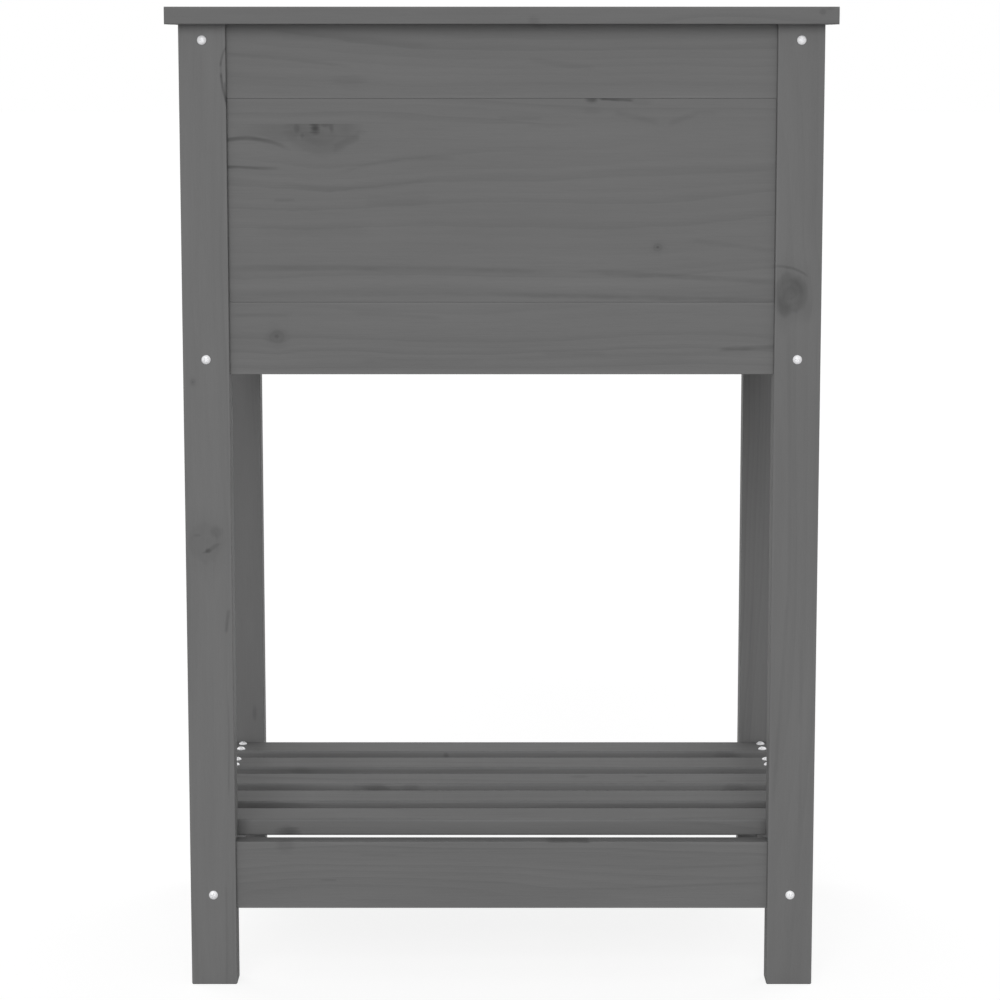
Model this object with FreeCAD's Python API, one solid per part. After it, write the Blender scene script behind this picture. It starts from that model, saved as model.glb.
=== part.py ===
import FreeCAD, Part
import math
import os

from FreeCAD import Placement, Rotation, Vector

# A raised garden bed of stained pine: a planting box on four legs, with a rim and a slatted shelf.
# Millimetres. X runs from left to right as seen from the front, Y from front to rear, Z up.
# The origin lies on the ground, at the middle of the footprint.

# Legs, measured over their outer faces
FRAME_WIDTH = 520.0
FRAME_DEPTH = 325.0
LEG_WIDTH = 38.0
LEG_DEPTH = 23.0
LEG_HEIGHT = 798.0
LEG_EASE = 1.0
FOOT_CHAMFER = 1.0

# Walls of the box: a panel board between two rails, with its tongues in their grooves
RAIL_THICKNESS = 15.0
TOP_RAIL_HEIGHT = 59.0
BOTTOM_RAIL_HEIGHT = 59.0
PANEL_HEIGHT = 165.0
PANEL_THICKNESS = 14.0
TONGUE_THICKNESS = 5.0
TONGUE_DEPTH = 6.0
TONGUE_CLEARANCE = 0.2
TONGUE_END_ROOM = 0.5
PANEL_END_GAP = 0.1
RAIL_EASE = 0.5
PANEL_EASE = 0.4

# Stretchers near the ground
STRETCHER_HEIGHT = 57.0
STRETCHER_RISE = 65.0

# Shelf
SLAT_COUNT = 5
SLAT_WIDTH = 38.0
SLAT_THICKNESS = 14.0
SLAT_LEG_GAP = 1.0
SLAT_EASE = 2.0

# Floor of the box
LEDGER_WIDTH = 20.0
LEDGER_HEIGHT = 20.0
LEDGER_RISE = 4.0
LEDGER_END_GAP = 0.5
FLOOR_SLAT_COUNT = 7
FLOOR_SLAT_THICKNESS = 14.0
DRAIN_GAP = 10.0
FLOOR_WALL_GAP = 1.0
FLOOR_LEG_GAP = 2.0
FLOOR_EASE = 1.5

# Rim
RIM_THICKNESS = 14.0
RIM_WIDTH = 58.0
RIM_OVERHANG = 10.0
RIM_JOINT_GAP = 0.3
RIM_EASE = 1.5

# Screws
SHANK_DIAMETER = 4.0
SHANK_TIP = 4.0
SHANK_CLEARANCE = 0.1
TIP_ROOM = 0.5
DOME_DIAMETER = 7.4
DOME_HEIGHT = 2.4
DOME_RIM = 0.6
FLAT_HEAD_DIAMETER = 7.6
FLAT_HEAD_DEPTH = 2.4
FLAT_HEAD_SINK = 0.3
RECESS_LENGTH = 4.0
RECESS_WIDTH = 0.9
RECESS_DEPTH = 1.2
RECESS_TURN = 37.0

# How far each kind of screw reaches into the second piece, and where it stands
LEG_SCREW_BITE = 37.0
LEG_SCREW_EDGE = 12.5
SHELF_SCREW_BITE = 21.0
SHELF_SCREW_EDGE = 9.0
RIM_SCREW_BITE = 25.0
RIM_LONG_SCREWS = 3
RIM_SHORT_SCREWS = 2
RIM_LONG_INSET = 90.0
RIM_SHORT_INSET = 45.0
LEDGER_SCREW_COVER = 4.0
FLOOR_SCREW_BITE = 12.0

# Dowels
DOWEL_DIAMETER = 8.0
DOWEL_LENGTH = 36.0
STRETCHER_DOWEL_DIAMETER = 6.0
STRETCHER_DOWEL_LENGTH = 30.0
DOWEL_CLEARANCE = 0.1
DOWEL_END_ROOM = 0.5
DOWEL_NEAR = 12.0
DOWEL_FAR = 36.0

X_AXIS = Vector(1, 0, 0)
Y_AXIS = Vector(0, 1, 0)
Z_AXIS = Vector(0, 0, 1)

# Planes that several pieces share
HALF_WIDTH = FRAME_WIDTH / 2
HALF_DEPTH = FRAME_DEPTH / 2
LEG_MID_X = HALF_WIDTH - LEG_WIDTH / 2
LEG_MID_Y = HALF_DEPTH - LEG_DEPTH / 2
LEG_INNER_X = HALF_WIDTH - LEG_WIDTH
LEG_INNER_Y = HALF_DEPTH - LEG_DEPTH
PANEL_TOP = LEG_HEIGHT - TOP_RAIL_HEIGHT
PANEL_BOTTOM = PANEL_TOP - PANEL_HEIGHT
BOX_BOTTOM = PANEL_BOTTOM - BOTTOM_RAIL_HEIGHT
STRETCHER_TOP = STRETCHER_RISE + STRETCHER_HEIGHT
SHELF_TOP = STRETCHER_TOP + SLAT_THICKNESS
RAIL_INNER_Y = LEG_MID_Y - RAIL_THICKNESS / 2
LEDGER_BOTTOM = BOX_BOTTOM + LEDGER_RISE
FLOOR_BOTTOM = LEDGER_BOTTOM + LEDGER_HEIGHT
FLOOR_TOP = FLOOR_BOTTOM + FLOOR_SLAT_THICKNESS
FLOOR_HALF_X = LEG_INNER_X - FLOOR_LEG_GAP
FLOOR_SLAT_WIDTH = (2 * FLOOR_HALF_X + DRAIN_GAP) / FLOOR_SLAT_COUNT - DRAIN_GAP
RIM_TOP = LEG_HEIGHT + RIM_THICKNESS
RIM_HALF_X = HALF_WIDTH + RIM_OVERHANG
RIM_HALF_Y = HALF_DEPTH + RIM_OVERHANG

SIDES = {"left": -1, "right": 1}
ENDS = {"front": -1, "rear": 1}


def span(middle, width):
    """The low and high limit of a width about its middle."""
    return (middle - width / 2, middle + width / 2)


def bar(x, y, z, along, ease):
    """A straight bar between the limits given, with its four edges along one axis rounded."""
    corner = Vector(x[0], y[0], z[0])
    size = Vector(x[1], y[1], z[1]) - corner
    block = Part.makeBox(size.x, size.y, size.z, corner)
    section = [length for length, axis in zip(size, (X_AXIS, Y_AXIS, Z_AXIS)) if axis != along]
    radius = min(ease, 0.4 * min(section))
    edges = [e for e in block.Edges if abs(e.tangentAt(e.FirstParameter).dot(along)) > 0.9]
    return block.makeFillet(radius, edges)


def box(x, y, z):
    """A sharp block between the limits given."""
    return Part.makeBox(x[1] - x[0], y[1] - y[0], z[1] - z[0], Vector(x[0], y[0], z[0]))


def spread(reach, count, width=0.0):
    """Middles of equal pieces, evenly spaced, with the outer ones ending at plus and minus the reach."""
    first = width / 2 - reach
    pitch = -2 * first / (count - 1)
    return [first + pitch * index for index in range(count)]


def turned(*points):
    """A solid of revolution about Z. A point given as a pair of points is an arc to the second."""
    edges = []
    last = points[0]
    for point in points[1:]:
        if isinstance(point, tuple):
            edges.append(Part.Arc(last, *point).toShape())
            last = point[-1]
        else:
            edges.append(Part.makeLine(last, point))
            last = point
    edges.append(Part.makeLine(last, points[0]))
    return Part.Face(Part.Wire(edges)).revolve(Vector(), Z_AXIS, 360)


def cross_recess(top):
    """The cross for a driver, open at the height given."""
    bottom = top - RECESS_DEPTH
    arm = (span(0, RECESS_LENGTH), span(0, RECESS_WIDTH), (bottom, top + RECESS_DEPTH))
    return box(*arm).fuse(box(arm[1], arm[0], arm[2]))


def domed_screw(length):
    """A screw whose domed head stands on the XY plane. Its shank runs down by the length given."""
    head = DOME_DIAMETER / 2
    shank = SHANK_DIAMETER / 2
    rise = DOME_HEIGHT - DOME_RIM
    sphere = (head**2 + rise**2) / (2 * rise)
    half = head / 2
    half_height = DOME_HEIGHT - sphere + math.sqrt(sphere**2 - half**2)
    solid = turned(
        Vector(0, 0, DOME_HEIGHT),
        (Vector(half, 0, half_height), Vector(head, 0, DOME_RIM)),
        Vector(head, 0, 0),
        Vector(shank, 0, 0),
        Vector(shank, 0, SHANK_TIP - length),
        Vector(0, 0, -length),
    )
    return solid.cut(cross_recess(DOME_HEIGHT))


def flat_screw(length):
    """A screw whose countersunk head ends on the XY plane. Its tip lies at the length given."""
    head = FLAT_HEAD_DIAMETER / 2
    shank = SHANK_DIAMETER / 2
    solid = turned(
        Vector(0, 0, 0),
        Vector(head, 0, 0),
        Vector(shank, 0, -FLAT_HEAD_DEPTH),
        Vector(shank, 0, SHANK_TIP - length),
        Vector(0, 0, -length),
    )
    return solid.cut(cross_recess(0))


def shank_bore(length):
    """The hole for a screw's shank, from the XY plane down."""
    depth = length + TIP_ROOM
    return Part.makeCylinder(SHANK_DIAMETER / 2 + SHANK_CLEARANCE, depth, Vector(0, 0, -depth))


def flat_bore(length):
    """The hole for a countersunk screw, open above its head."""
    shank = SHANK_DIAMETER / 2 + SHANK_CLEARANCE
    head = FLAT_HEAD_DIAMETER / 2 + SHANK_CLEARANCE
    cone = Part.makeCone(shank, head, FLAT_HEAD_DEPTH, Vector(0, 0, -FLAT_HEAD_DEPTH))
    mouth = Part.makeCylinder(head, FLAT_HEAD_SINK + TIP_ROOM)
    return shank_bore(length).fuse([cone, mouth])


def dowel(diameter, length):
    """A dowel whose middle lies on the origin, along Z."""
    return Part.makeCylinder(diameter / 2, length, Vector(0, 0, -length / 2))


class Fasteners:
    """Equal fasteners that share one node, and the holes that they need."""

    def __init__(self, solid, bore):
        self.solid = solid
        self.bore = bore
        self.solids = []
        self.bores = []

    def add(self, point, outward):
        """Puts one fastener at a point, with its head facing outward."""
        turn = Rotation(Z_AXIS, RECESS_TURN * len(self.solids))
        place = Placement(point, Rotation(Z_AXIS, outward) * turn)
        for shape, kept in ((self.solid, self.solids), (self.bore, self.bores)):
            copy = shape.copy()
            copy.Placement = place
            kept.append(copy)

    def shape(self):
        """All the fasteners as one group of solids."""
        return Part.makeCompound(self.solids)


def make_leg(side, end):
    """One leg, with its edges rounded and its foot chamfered."""
    x = span(side * LEG_MID_X, LEG_WIDTH)
    y = span(end * LEG_MID_Y, LEG_DEPTH)
    z = (0, LEG_HEIGHT)
    blank = box(x, y, z)
    foot = [e for e in blank.Edges if e.BoundBox.ZMax < FOOT_CHAMFER]
    return bar(x, y, z, Z_AXIS, LEG_EASE).common(blank.makeChamfer(FOOT_CHAMFER, foot))


class Wall:
    """Where the boards of one wall of the frame run: along X at the front and rear, or along Y."""

    def __init__(self, name):
        self.name = name
        self.long = name in ENDS
        self.half = LEG_INNER_X if self.long else LEG_INNER_Y
        self.middle = ENDS[name] * LEG_MID_Y if self.long else SIDES[name] * LEG_MID_X

    def limits(self, thickness, end_gap=0.0):
        """Limits along X and Y of a board centred in the wall."""
        run = (end_gap - self.half, self.half - end_gap)
        across = span(self.middle, thickness)
        return (run, across) if self.long else (across, run)

    def board(self, thickness, z, ease=RAIL_EASE, end_gap=0.0):
        """A board that runs from leg to leg."""
        x, y = self.limits(thickness, end_gap)
        return bar(x, y, z, X_AXIS if self.long else Y_AXIS, ease)

    def strip(self, thickness, z, end_gap=0.0):
        """A sharp strip in the middle of the wall, for tongues and grooves."""
        x, y = self.limits(thickness, end_gap)
        return box(x, y, z)

    def point(self, run, z):
        """A point in the middle of the wall's thickness."""
        return Vector(run, self.middle, z) if self.long else Vector(self.middle, run, z)


def make_wall(wall):
    """The top rail, panel and bottom rail of one wall of the box."""
    groove = TONGUE_DEPTH + TONGUE_END_ROOM
    width = TONGUE_THICKNESS + 2 * TONGUE_CLEARANCE
    top = wall.board(RAIL_THICKNESS, (PANEL_TOP, LEG_HEIGHT))
    bottom = wall.board(RAIL_THICKNESS, (BOX_BOTTOM, PANEL_BOTTOM))
    panel = wall.board(PANEL_THICKNESS, (PANEL_BOTTOM, PANEL_TOP), PANEL_EASE, PANEL_END_GAP)
    tongue_z = (PANEL_BOTTOM - TONGUE_DEPTH, PANEL_TOP + TONGUE_DEPTH)
    tongues = wall.strip(TONGUE_THICKNESS, tongue_z, PANEL_END_GAP)
    return {
        f"{wall.name}_top_rail": top.cut(wall.strip(width, (PANEL_TOP, PANEL_TOP + groove))),
        f"{wall.name}_panel": panel.fuse(tongues).removeSplitter(),
        f"{wall.name}_bottom_rail": bottom.cut(wall.strip(width, (PANEL_BOTTOM - groove, PANEL_BOTTOM))),
    }


def make_shelf():
    """The shelf slats from front to rear, which lie on the side stretchers."""
    half = LEG_MID_X + RAIL_THICKNESS / 2
    limit = LEG_INNER_Y - SLAT_LEG_GAP
    z = (STRETCHER_TOP, SHELF_TOP)
    return {
        f"shelf_slat_{index}": bar((-half, half), span(y, SLAT_WIDTH), z, X_AXIS, SLAT_EASE)
        for index, y in enumerate(spread(limit, SLAT_COUNT, SLAT_WIDTH), 1)
    }


def floor_middles():
    """Middles of the floor slats along X."""
    return spread(FLOOR_HALF_X, FLOOR_SLAT_COUNT, FLOOR_SLAT_WIDTH)


def make_floor():
    """Two ledgers inside the bottom rails, and the slats across them."""
    pieces = {}
    half = LEG_INNER_X - LEDGER_END_GAP
    for name, end in ENDS.items():
        y = span(end * (RAIL_INNER_Y - LEDGER_WIDTH / 2), LEDGER_WIDTH)
        z = (LEDGER_BOTTOM, FLOOR_BOTTOM)
        pieces[f"{name}_floor_ledger"] = bar((-half, half), y, z, X_AXIS, FLOOR_EASE)
    reach = RAIL_INNER_Y - FLOOR_WALL_GAP
    for index, x in enumerate(floor_middles(), 1):
        across = span(x, FLOOR_SLAT_WIDTH)
        z = (FLOOR_BOTTOM, FLOOR_TOP)
        pieces[f"floor_slat_{index}"] = bar(across, (-reach, reach), z, Y_AXIS, FLOOR_EASE)
    return pieces


def make_rim():
    """The rim: long boards at the front and rear, short ones between them."""
    z = (LEG_HEIGHT, RIM_TOP)
    pieces = {}
    for name, end in ENDS.items():
        y = span(end * (RIM_HALF_Y - RIM_WIDTH / 2), RIM_WIDTH)
        pieces[f"rim_{name}"] = bar((-RIM_HALF_X, RIM_HALF_X), y, z, X_AXIS, RIM_EASE)
    half = RIM_HALF_Y - RIM_WIDTH - RIM_JOINT_GAP
    for name, side in SIDES.items():
        x = span(side * (RIM_HALF_X - RIM_WIDTH / 2), RIM_WIDTH)
        pieces[f"rim_{name}"] = bar(x, (-half, half), z, Y_AXIS, RIM_EASE)
    return pieces


def leg_screws():
    """Domed screws through the legs into the ends of the side rails and stretchers."""
    length = LEG_DEPTH + LEG_SCREW_BITE
    group = Fasteners(domed_screw(length), shank_bore(length))
    heights = (LEG_HEIGHT - LEG_SCREW_EDGE, BOX_BOTTOM + LEG_SCREW_EDGE, STRETCHER_RISE + LEG_SCREW_EDGE)
    for side in SIDES.values():
        for end in ENDS.values():
            for z in heights:
                group.add(Vector(side * LEG_MID_X, end * HALF_DEPTH, z), end * Y_AXIS)
    return group


def shelf_screws(slats):
    """Two domed screws at each end of each shelf slat."""
    length = SLAT_THICKNESS + SHELF_SCREW_BITE
    group = Fasteners(domed_screw(length), shank_bore(length))
    for slat in slats.values():
        for side in SIDES.values():
            for y in (slat.BoundBox.YMin + SHELF_SCREW_EDGE, slat.BoundBox.YMax - SHELF_SCREW_EDGE):
                group.add(Vector(side * LEG_MID_X, y, SHELF_TOP), Z_AXIS)
    return group


def rim_screws():
    """Countersunk screws through the rim into the top rails."""
    length = RIM_THICKNESS + RIM_SCREW_BITE
    group = Fasteners(flat_screw(length), flat_bore(length))
    top = RIM_TOP - FLAT_HEAD_SINK
    long_reach = RIM_HALF_X - RIM_LONG_INSET
    short_reach = RIM_HALF_Y - RIM_WIDTH - RIM_SHORT_INSET
    for end in ENDS.values():
        for x in spread(long_reach, RIM_LONG_SCREWS):
            group.add(Vector(x, end * LEG_MID_Y, top), Z_AXIS)
    for side in SIDES.values():
        for y in spread(short_reach, RIM_SHORT_SCREWS):
            group.add(Vector(side * LEG_MID_X, y, top), Z_AXIS)
    return group


def ledger_screws():
    """Domed screws through the ledgers into the bottom rails, one under each gap of the floor."""
    length = LEDGER_WIDTH + RAIL_THICKNESS - LEDGER_SCREW_COVER
    group = Fasteners(domed_screw(length), shank_bore(length))
    middles = floor_middles()
    z = LEDGER_BOTTOM + LEDGER_HEIGHT / 2
    for end in ENDS.values():
        for left, right in zip(middles, middles[1:]):
            group.add(Vector((left + right) / 2, end * (RAIL_INNER_Y - LEDGER_WIDTH), z), -end * Y_AXIS)
    return group


def floor_screws():
    """Countersunk screws through the floor slats into the ledgers."""
    length = FLOOR_SLAT_THICKNESS + FLOOR_SCREW_BITE
    group = Fasteners(flat_screw(length), flat_bore(length))
    for end in ENDS.values():
        for x in floor_middles():
            y = end * (RAIL_INNER_Y - LEDGER_WIDTH / 2)
            group.add(Vector(x, y, FLOOR_TOP - FLAT_HEAD_SINK), Z_AXIS)
    return group


def dowel_group(diameter, length):
    """A group of dowels with their holes."""
    bore = dowel(diameter + 2 * DOWEL_CLEARANCE, length + 2 * DOWEL_END_ROOM)
    return Fasteners(dowel(diameter, length), bore)


def frame_dowels(wall):
    """Two dowels in each end of a frame's rails and stretcher, clear of the leg screws."""
    group = dowel_group(DOWEL_DIAMETER, DOWEL_LENGTH)
    heights = (
        PANEL_TOP + DOWEL_NEAR,
        PANEL_TOP + DOWEL_FAR,
        PANEL_BOTTOM - DOWEL_NEAR,
        PANEL_BOTTOM - DOWEL_FAR,
        STRETCHER_TOP - DOWEL_NEAR,
        STRETCHER_TOP - DOWEL_FAR,
    )
    for side in SIDES.values():
        for z in heights:
            group.add(wall.point(side * wall.half, z), X_AXIS)
    return group


def stretcher_dowels(walls):
    """One dowel in each end of the side stretchers, which keeps them from turning on their screws."""
    group = dowel_group(STRETCHER_DOWEL_DIAMETER, STRETCHER_DOWEL_LENGTH)
    z = STRETCHER_TOP - (DOWEL_NEAR + DOWEL_FAR) / 2
    for wall in walls:
        for end in ENDS.values():
            group.add(wall.point(end * wall.half, z), Y_AXIS)
    return group


def make_pieces():
    """Every wooden piece by its node's name, before drilling, and every group of fasteners."""
    walls = {name: Wall(name) for name in (*ENDS, *SIDES)}
    pieces = {
        f"{end_name}_{side_name}_leg": make_leg(side, end)
        for end_name, end in ENDS.items()
        for side_name, side in SIDES.items()
    }
    for wall in walls.values():
        pieces.update(make_wall(wall))
        pieces[f"{wall.name}_stretcher"] = wall.board(RAIL_THICKNESS, (STRETCHER_RISE, STRETCHER_TOP))
    slats = make_shelf()
    pieces.update(slats)
    pieces.update(make_floor())
    pieces.update(make_rim())
    groups = {
        "leg_screws": leg_screws(),
        "shelf_screws": shelf_screws(slats),
        "rim_screws": rim_screws(),
        "ledger_screws": ledger_screws(),
        "floor_screws": floor_screws(),
        "front_frame_dowels": frame_dowels(walls["front"]),
        "rear_frame_dowels": frame_dowels(walls["rear"]),
        "stretcher_dowels": stretcher_dowels([walls[name] for name in SIDES]),
    }
    return pieces, groups


def drilled(piece, bores):
    """A piece with every hole that reaches it."""
    near = [bore for bore in bores if bore.BoundBox.intersect(piece.BoundBox)]
    return piece.cut(near) if near else piece


def main():
    """Writes each node to its own file."""
    os.makedirs("parts", exist_ok=True)
    pieces, groups = make_pieces()
    bores = [bore for group in groups.values() for bore in group.bores]
    shapes = {name: drilled(piece, bores) for name, piece in pieces.items()}
    shapes.update({name: group.shape() for name, group in groups.items()})
    for name, shape in shapes.items():
        shape.exportStep(f"parts/{name}.step")
        print(f"{name}: {len(shape.Solids)} solids, {shape.Volume / 1000:.1f} cm3, valid {shape.isValid()}")


main()
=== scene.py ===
"""Looks of a grey-stained pine raised garden bed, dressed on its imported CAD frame."""

import functools
import logging
import math
import operator
import random
from abc import ABC, abstractmethod
from dataclasses import dataclass, replace
from enum import Enum
from typing import Any, Union

import bpy
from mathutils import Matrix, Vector

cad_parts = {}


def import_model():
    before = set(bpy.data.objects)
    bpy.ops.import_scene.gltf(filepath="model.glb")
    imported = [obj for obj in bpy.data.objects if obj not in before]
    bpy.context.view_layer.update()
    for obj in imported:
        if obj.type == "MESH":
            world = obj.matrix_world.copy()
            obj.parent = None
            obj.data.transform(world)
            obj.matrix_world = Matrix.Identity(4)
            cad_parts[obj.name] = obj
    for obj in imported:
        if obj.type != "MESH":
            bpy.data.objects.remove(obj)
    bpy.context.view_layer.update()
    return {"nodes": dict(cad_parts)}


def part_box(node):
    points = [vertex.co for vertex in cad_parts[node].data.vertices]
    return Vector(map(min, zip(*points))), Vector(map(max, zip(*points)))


LOG = logging.getLogger("garden_bed")
MM = 0.001
NOISE_MIDDLE = 0.5

Pair = tuple[float, float]
Triple = tuple[float, float, float]
Colour = tuple[float, float, float, float]
Operand = Union["Wire", float, Triple]

WHITE: Colour = (1.0, 1.0, 1.0, 1.0)


class Wire:
    """A node's output socket that takes part in Python expressions."""

    def __init__(self, paint: "Paint", socket: bpy.types.NodeSocket) -> None:
        """Keeps the socket and the tree that new nodes go into."""
        self.paint = paint
        self.socket = socket

    def _join(self, operation: str, first: Operand, second: Operand) -> "Wire":
        """Adds a Math node, or a Vector Math node where a vector takes part.

        Args:
            operation: The node's operation.
            first: The left operand.
            second: The right operand.

        Returns:
            The result's socket.
        """
        pair = (first, second)
        if any(is_vector(value) for value in pair):
            pair = tuple((v, v, v) if isinstance(v, (int, float)) else v for v in pair)
            return self.paint.node("ShaderNodeVectorMath", {"operation": operation}, dict(enumerate(pair)))
        return self.paint.node("ShaderNodeMath", {"operation": operation}, dict(enumerate(pair)))

    def __add__(self, other: Operand) -> "Wire":
        """Adds the other operand."""
        return self._join("ADD", self, other)

    def __radd__(self, other: Operand) -> "Wire":
        """Adds this wire to a plain number or triple."""
        return self._join("ADD", other, self)

    def __sub__(self, other: Operand) -> "Wire":
        """Takes the other operand away."""
        return self._join("SUBTRACT", self, other)

    def __rsub__(self, other: Operand) -> "Wire":
        """Takes this wire away from a plain number or triple."""
        return self._join("SUBTRACT", other, self)

    def __mul__(self, other: Operand) -> "Wire":
        """Multiplies by the other operand."""
        return self._join("MULTIPLY", self, other)

    def __rmul__(self, other: Operand) -> "Wire":
        """Multiplies a plain number or triple by this wire."""
        return self._join("MULTIPLY", other, self)

    def __truediv__(self, other: Operand) -> "Wire":
        """Divides by the other operand."""
        return self._join("DIVIDE", self, other)

    def __rtruediv__(self, other: Operand) -> "Wire":
        """Divides a plain number or triple by this wire."""
        return self._join("DIVIDE", other, self)

    def __gt__(self, other: Operand) -> "Wire":
        """Gives 1 where this wire is the greater, and 0 elsewhere."""
        return self._join("GREATER_THAN", self, other)

    def __lt__(self, other: Operand) -> "Wire":
        """Gives 1 where this wire is the smaller, and 0 elsewhere."""
        return self._join("LESS_THAN", self, other)

    def __abs__(self) -> "Wire":
        """Gives the size without the sign."""
        return self.paint.node("ShaderNodeMath", {"operation": "ABSOLUTE"}, {0: self})


def is_vector(value: Operand) -> bool:
    """Tells whether an operand is a triple or a vector socket."""
    return isinstance(value, tuple) or (isinstance(value, Wire) and value.socket.type == "VECTOR")


def total(wires: list[Wire]) -> Operand:
    """Adds up wires, of which there may be none."""
    return functools.reduce(operator.add, wires) if wires else 0.0


def swing(noise: Wire, amount: float) -> Wire:
    """Gives a factor that goes up and down about 1 with a noise."""
    return (1.0 - NOISE_MIDDLE * amount) + amount * noise


class Paint:
    """The node tree of one material or world, filled by expressions on wires."""

    # The sockets by which a Mix node takes in and gives out colours
    MIX_COLOURS = (6, 7)
    MIX_RESULT = 2

    def __init__(self, tree: bpy.types.NodeTree) -> None:
        """Clears the tree and adds its output node.

        Args:
            tree: The tree of a material or a world.
        """
        self.tree = tree
        tree.nodes.clear()
        world = any(scene_world.node_tree == tree for scene_world in bpy.data.worlds)
        self.output = tree.nodes.new("ShaderNodeOutputWorld" if world else "ShaderNodeOutputMaterial")

    def node(
        self,
        kind: str,
        settings: dict[str, Any] | None = None,
        sockets: dict[int | str, Any] | None = None,
        output: int | str = 0,
    ) -> Wire:
        """Adds a node, sets it, then fills its sockets.

        Args:
            kind: The node's Blender type.
            settings: Properties that are set before any socket.
            sockets: Values or wires by the input's index or name.
            output: The index or name of the output that is wanted.

        Returns:
            The wanted output.
        """
        made = self.tree.nodes.new(kind)
        for name, value in (settings or {}).items():
            setattr(made, name, value)
        for key, value in (sockets or {}).items():
            if isinstance(value, Wire):
                self.tree.links.new(value.socket, made.inputs[key])
            else:
                made.inputs[key].default_value = value
        return Wire(self, made.outputs[output])

    def surface(self, shader: Wire) -> None:
        """Links a finished shader to the output node."""
        self.tree.links.new(shader.socket, self.output.inputs["Surface"])

    def point(self) -> Wire:
        """Gives the place in the shared frame, in millimetres."""
        return self.node("ShaderNodeTexCoord", None, None, "Object") * (1.0 / MM)

    def smooth(self, value: Wire, start: float, end: float) -> Wire:
        """Rises smoothly from 0 at start to 1 at end, whichever of them is the greater.

        Args:
            value: The wire that is read.
            start: Where the result is 0.
            end: Where the result is 1.

        Returns:
            The step, from 0 to 1.
        """
        sockets = {"Value": value, "From Min": start, "From Max": end}
        return self.node("ShaderNodeMapRange", {"interpolation_type": "SMOOTHSTEP"}, sockets)

    def maths(self, operation: str, *values: Operand) -> Wire:
        """Adds a Math node for an operation that has no Python sign."""
        return self.node("ShaderNodeMath", {"operation": operation}, dict(enumerate(values)))

    def parts(self, vector: Wire) -> tuple[Wire, Wire, Wire]:
        """Splits a vector or a colour into its three values."""
        first = self.node("ShaderNodeSeparateXYZ", None, {0: vector})
        return tuple(Wire(self, output) for output in first.socket.node.outputs)

    def length(self, vector: Wire) -> Wire:
        """Measures a vector."""
        return self.node("ShaderNodeVectorMath", {"operation": "LENGTH"}, {0: vector}, "Value")

    def scaled(self, place: Wire, scale: Triple, start: Triple) -> Wire:
        """Multiplies a place by a scale for each axis, then adds a start."""
        sockets = {0: place, 1: scale, 2: start}
        return self.node("ShaderNodeVectorMath", {"operation": "MULTIPLY_ADD"}, sockets)

    def noise(self, place: Wire, cell: Triple, start: Triple, detail: float = 2.0, output: int = 0) -> Wire:
        """Adds a noise whose cells have the given lengths.

        Args:
            place: A position in millimetres.
            cell: The cell's length along each axis, in millimetres.
            start: Where in the noise this surface begins.
            detail: The number of finer layers.
            output: 0 for one value, 1 for three.

        Returns:
            The noise, from 0 to 1.
        """
        at = self.scaled(place, tuple(1.0 / length for length in cell), start)
        return self.node("ShaderNodeTexNoise", None, {"Vector": at, "Scale": 1.0, "Detail": detail}, output)

    def blend(self, share: Wire, first: Triple, second: Triple) -> Wire:
        """Mixes two colours, the second by its share."""
        sockets = {0: share} | dict(zip(self.MIX_COLOURS, ((*first, 1.0), (*second, 1.0))))
        return self.node("ShaderNodeMix", {"data_type": "RGBA"}, sockets, self.MIX_RESULT)

    def bump(self, height: Wire, strength: float, distance: float) -> Wire:
        """Turns a height into a shader's normal."""
        sockets = {"Strength": strength, "Distance": distance, "Height": height}
        return self.node("ShaderNodeBump", None, sockets)


def new_material(name: str) -> tuple[bpy.types.Material, Paint]:
    """Makes a material that has only its output node.

    Args:
        name: The material's name.

    Returns:
        The material and its nodes.
    """
    material = bpy.data.materials.new(name)
    material.use_nodes = True
    return material, Paint(material.node_tree)


class Grain(Enum):
    """A board's own axes: along its fibres, through its thickness and across its width."""

    RAIL = "XYZ"
    SIDE_RAIL = "YXZ"
    LEG = "ZYX"
    LONG_SLAT = "XZY"
    SHORT_SLAT = "YZX"

    def axes(self) -> tuple[int, int, int]:
        """Gives the shared frame's axis numbers in the board's order."""
        return tuple("XYZ".index(letter) for letter in self.value)


@dataclass(frozen=True)
class Knot:
    """A branch that goes through the board's thickness. Lengths are in millimetres.

    Its place is along the fibres and across the width, in the shared frame. It is darker by body all
    over, by core at its middle, by halo around it and by rim at its edge. The rings are pushed aside
    by push, and a knot that a glue line cuts shows only below that line.
    """

    along: float
    across: float
    radius: float
    stretch: float
    body: float
    core: float = 0.0
    push: float = 0.0
    halo: float = 0.06
    rim: float = 0.1
    below: float | None = None


@dataclass(frozen=True)
class Vein:
    """A darker line along the fibres, or crosswise. Lengths are in millimetres.

    It runs from start to end while its place across goes from start_across to end_across, and it
    leaves the straight way by bow at its middle. Its darkness falls by the share fade on the way,
    and below zero it makes the line paler, which paints a highlight.
    """

    start: float
    end: float
    start_across: float
    end_across: float
    width: float
    dark: float
    bow: float = 0.0
    fade: float = 0.0
    crosswise: bool = False


@dataclass(frozen=True)
class Blot:
    """A dark spot in the wood, an ellipsoid in the shared frame, in millimetres.

    One that a glue line cuts shows only below that line.
    """

    centre: Triple
    radii: Triple
    dark: float
    below: float | None = None


@dataclass(frozen=True)
class Board:
    """One pine board of the frame: how it was sawn and the marks that it shows.

    The heart is where the tree's middle was, through and across the board from its own middle. The
    ring is a year's width, the seed is where its noises begin and the figure is how bold its rings are.
    """

    node: str
    grain: Grain
    heart: Pair
    ring: float
    seed: Triple
    tone: float
    figure: float
    knots: tuple[Knot, ...]
    veins: tuple[Vein, ...]
    blots: tuple[Blot, ...] = ()
    glue_line: float | None = None


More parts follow.
